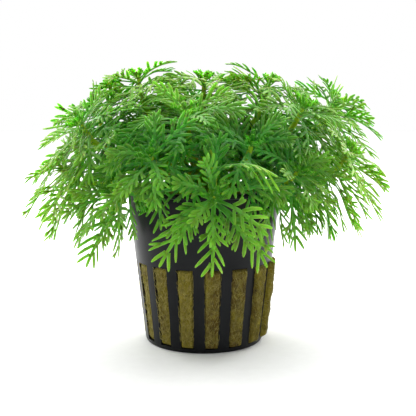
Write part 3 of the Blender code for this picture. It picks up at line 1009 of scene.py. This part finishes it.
def pot_ring(radius, height):
    """Points round the pot: the steps of a slot, then those of the bar beside it, slot by slot."""
    half = slot_half_angle(height)
    pitch = math.tau / SLOT_COUNT
    ring = []
    for number in range(SLOT_COUNT):
        centre = SLOT_PHASE + math.tau * number / SLOT_COUNT
        for k in range(SLOT_STEPS):
            ring.append(around(centre - half + 2 * half * k / SLOT_STEPS, radius, height))
        for k in range(BAR_STEPS):
            ring.append(around(centre + half + (pitch - 2 * half) * k / BAR_STEPS, radius, height))
    return ring


def pot_mesh():
    """The cup as one skin with its slots left open, to be given its wall by Solidify."""
    profile, first_slot_row, last_slot_row = pot_profile()
    per_slot = SLOT_STEPS + BAR_STEPS
    count = SLOT_COUNT * per_slot
    points, faces = [], []
    for row, (radius, height) in enumerate(profile):
        points += pot_ring(radius, height)
        if row == len(profile) - 1:
            break
        slotted = first_slot_row <= row < last_slot_row
        for i, quad in enumerate(ring_faces(row * count, count)):
            if not slotted or i % per_slot >= SLOT_STEPS:
                faces.append(quad)
    middle = len(points)
    points.append(Vector())
    faces += [tuple(reversed(face)) for face in fan_faces(0, count, middle)]
    return smooth_mesh("net_pot", points, faces)


def dress_pot(material):
    pot = piece("net_pot", pot_mesh(), material, "black_plastic", "pot")
    wall = pot.modifiers.new("wall", "SOLIDIFY")
    wall.thickness = POT_WALL
    wall.offset = -1
    edges = pot.modifiers.new("edges", "BEVEL")
    edges.width = EDGE_ROUNDING
    edges.segments = 2
    edges.limit_method = "ANGLE"
    edges.angle_limit = math.radians(40)
    edges.harden_normals = True


def wool_radius(angle, height):
    """The plug's surface: inside the wall, and swelling out through each slot."""
    wall = inner_radius(height) - GAP
    number = round((angle - SLOT_PHASE) / (math.tau / SLOT_COUNT))
    centre = SLOT_PHASE + math.tau * number / SLOT_COUNT
    across = min(abs(angle - centre) / slot_half_angle(height), 1)
    upright = min(max((height - SLOT_BOTTOM) / (SLOT_TOP - SLOT_BOTTOM), 0), 1)
    swell = POT_WALL + GAP + WOOL_SWELL + WOOL_SWELL_TO_RIGHT * math.sin(centre)
    bulge = (1 - across**12) * min(1, 6 * math.sqrt(upright * (1 - upright)))
    place = around(angle, wall, height)
    lumps = noise.noise(place * 260) * 0.3 * MM + noise.noise(place * 1100) * 0.16 * MM
    return wall + bulge * (swell + lumps)


def wool_mesh():
    """The plug's side, its flat underside and its lumpy top, ring by ring."""
    count = SLOT_COUNT * WOOL_STEPS_PER_SLOT
    low = POT_FLOOR + GAP
    points, faces = [], []
    for k in range(WOOL_LEVELS + 1):
        height = low + (WOOL_TOP - low) * k / WOOL_LEVELS
        for i in range(count):
            angle = SLOT_PHASE + math.tau * i / count
            points.append(around(angle, wool_radius(angle, height), height))
    for k in range(WOOL_LEVELS):
        faces += ring_faces(k * count, count)
    faces.append(tuple(reversed(range(count))))
    for r in range(1, WOOL_TOP_RINGS):
        radius = (inner_radius(WOOL_TOP) - GAP) * (1 - r / WOOL_TOP_RINGS)
        faces += ring_faces(len(points) - count, count)
        for i in range(count):
            place = around(SLOT_PHASE + math.tau * i / count, radius, WOOL_TOP)
            lump = noise.noise(place * 500) * 0.5 * MM - 0.5 * MM
            points.append(place + UP * min(lump, 0))
    faces += fan_faces(len(points) - count, count, len(points))
    points.append(Vector((0, 0, WOOL_TOP - 0.4 * MM)))
    return smooth_mesh("rock_wool_plug", points, faces)


def fibre_rings(draw, centre):
    """The rings of points of one loose fibre, which lies over the wool of the slot round this angle."""
    height = draw.uniform(SLOT_BOTTOM + 0.6 * MM, SLOT_TOP - 0.6 * MM)
    half = slot_half_angle(height)
    angle = centre + draw.uniform(-1.0, 1.0) * half
    lean = draw.gauss(math.pi / 2, 0.7)
    length = draw.uniform(1.0, 3.6) * MM
    bend = draw.uniform(-0.9, 0.9)
    thick = draw.uniform(0.035, 0.07) * MM
    rings = []
    for k in range(FIBRE_STEPS + 1):
        radius = wool_radius(angle, height) + thick * 0.6 + 0.2 * MM * math.sin(math.pi * k / FIBRE_STEPS)
        if abs(angle - centre) > 0.9 * half:
            radius = max(radius, outer_radius(height) + thick)
        middle = around(angle, radius, height)
        out = around(angle, 1, 0)
        side = around(angle + math.pi / 2, 1, 0)
        sideways = side * math.sin(lean) - UP * math.cos(lean)
        rings.append([middle + (sideways * across + out * above) * thick for across, above in FIBRE_SECTION])
        step = length / FIBRE_STEPS
        angle += math.cos(lean) * step / radius
        height += math.sin(lean) * step
        lean += bend / FIBRE_STEPS
        angle = min(max(angle, centre - 1.06 * half), centre + 1.06 * half)
        height = min(max(height, SLOT_BOTTOM + 0.2 * MM), SLOT_TOP - 0.2 * MM)
    return rings


def fibres_mesh():
    """Loose mineral fibres lying over the wool in every slot."""
    draw = random.Random(FIBRE_SEED)
    points, faces = [], []
    count = len(FIBRE_SECTION)
    for number in range(SLOT_COUNT):
        centre = SLOT_PHASE + math.tau * number / SLOT_COUNT
        for _ in range(FIBRES_PER_SLOT):
            first = len(points)
            last = first + FIBRE_STEPS * count
            for ring in fibre_rings(draw, centre):
                points.extend(ring)
            for start in range(first, last, count):
                faces += ring_faces(start, count)
            faces.append((first + 2, first + 1, first))
            faces.append((last, last + 1, last + 2))
    return smooth_mesh("rock_wool_fibres", points, faces)


def dress_plant(material):
    """One piece for each shoot, of its stem and all its leaves, also those that are solids of their own."""
    shoots, loose = grow()
    for shoot in shoots:
        blade = Blade()
        pale = painted_backlight_of(shoot)
        stem_into(shoot, blade)
        for (tier, face), leaf in shoot.leaves.items():
            LeafShape(leaf, shoot.number * 100 + tier * 10 + face, pale, 0.25 * tier).add_to(blade)
        for number, leaf in enumerate(shoot.fill):
            LeafShape(leaf, shoot.number * 100 + FILL_SHAPE_SEED + number, pale).add_to(blade)
        young_leaves(shoot, blade)
        nodes = [f"shoot_{shoot.number:02d}"]
        for name, (owner, leaf) in loose.items():
            if owner is shoot:
                seed = sum(map(ord, name)) + LOOSE_SHAPE_SEED + shoot.number
                LeafShape(leaf, seed, pale).add_to(blade)
                nodes.append(name)
        name = f"shoot_{shoot.number:02d}_leaves"
        piece(name, blade.mesh(name), material, "leaf_green", *nodes)


def make_camera():
    camera = bpy.data.objects.new("camera", bpy.data.cameras.new("camera"))
    camera.location = CAMERA_PLACE
    camera.rotation_euler = (math.radians(90) - CAMERA_DOWN, 0, 0)
    camera.data.lens = CAMERA_LENS
    camera.data.sensor_width = SENSOR_WIDTH
    camera.data.clip_start = 0.01
    link(camera)
    bpy.context.scene.camera = camera


def make_lights():
    """Soft lights, most of them behind the plant, and a broad one overhead."""
    for name, place, size, power in LIGHTS:
        light = bpy.data.lights.new(name, "AREA")
        light.size = size
        light.energy = power
        lamp = bpy.data.objects.new(name, light)
        lamp.location = place
        aim = LIT_POINT - Vector(place)
        lamp.rotation_euler = aim.to_track_quat("-Z", "Y").to_euler()
        link(lamp)
    ceiling = bpy.data.lights.new("ceiling_light", "SUN")
    ceiling.energy = CEILING_STRENGTH
    ceiling.angle = CEILING_SOFTNESS
    lamp = bpy.data.objects.new("ceiling_light", ceiling)
    lamp.rotation_euler = CEILING_TILT
    link(lamp)


def make_world():
    """Light that grows from the front to the back, before a plain white background."""
    world = bpy.data.worlds.new("studio")
    world.use_nodes = True
    nodes, links = world.node_tree.nodes, world.node_tree.links
    background = nodes["Background"]
    background.inputs["Color"].default_value = (1, 1, 1, 1)
    apart = nodes.new("ShaderNodeSeparateXYZ")
    links.new(nodes.new("ShaderNodeTexCoord").outputs["Generated"], apart.inputs[0])
    ramp = nodes.new("ShaderNodeMapRange")
    ramp.interpolation_type = "SMOOTHSTEP"
    links.new(apart.outputs["Y"], ramp.inputs["Value"])
    spans = (("From Min", -0.6), ("From Max", 0.8), ("To Min", FRONT_GLOW), ("To Max", BACK_GLOW))
    for socket, value in spans:
        ramp.inputs[socket].default_value = value
    plain = nodes.new("ShaderNodeMix")
    links.new(nodes.new("ShaderNodeLightPath").outputs["Is Camera Ray"], plain.inputs["Factor"])
    links.new(ramp.outputs[0], plain.inputs["A"])
    plain.inputs["B"].default_value = 1.0
    links.new(plain.outputs[0], background.inputs["Strength"])
    bpy.context.scene.world = world


def make_floor():
    corners = [(-FLOOR_HALF, -FLOOR_HALF, 0), (FLOOR_HALF, -FLOOR_HALF, 0)]
    corners += [(FLOOR_HALF, FLOOR_HALF, 0), (-FLOOR_HALF, FLOOR_HALF, 0)]
    mesh = bpy.data.meshes.new("floor")
    mesh.from_pydata(corners, [], [(0, 1, 2, 3)])
    floor = bpy.data.objects.new("floor", mesh)
    link(floor)
    n = Nodes("floor_paper")
    speck = n.spread(n.noise(n.position(), 300, 2), 0.3, 0.7)
    n.set(Base_Color=n.mix(speck, (0.95, 0.95, 0.95, 1), (0.98, 0.98, 0.98, 1)), Roughness=0.8)
    mesh.materials.append(n.material)


def studio():
    make_camera()
    make_lights()
    make_world()
    bpy.context.scene.view_settings.view_transform = "Standard"
    make_floor()


def main():
    dress_pot(pot_material())
    piece("rock_wool_plug", wool_mesh(), wool_material(), "mineral_wool", "rock_wool")
    piece("rock_wool_fibres", fibres_mesh(), fibre_material(), "mineral_wool", "rock_wool")
    dress_plant(leaf_material())
    studio()


main()
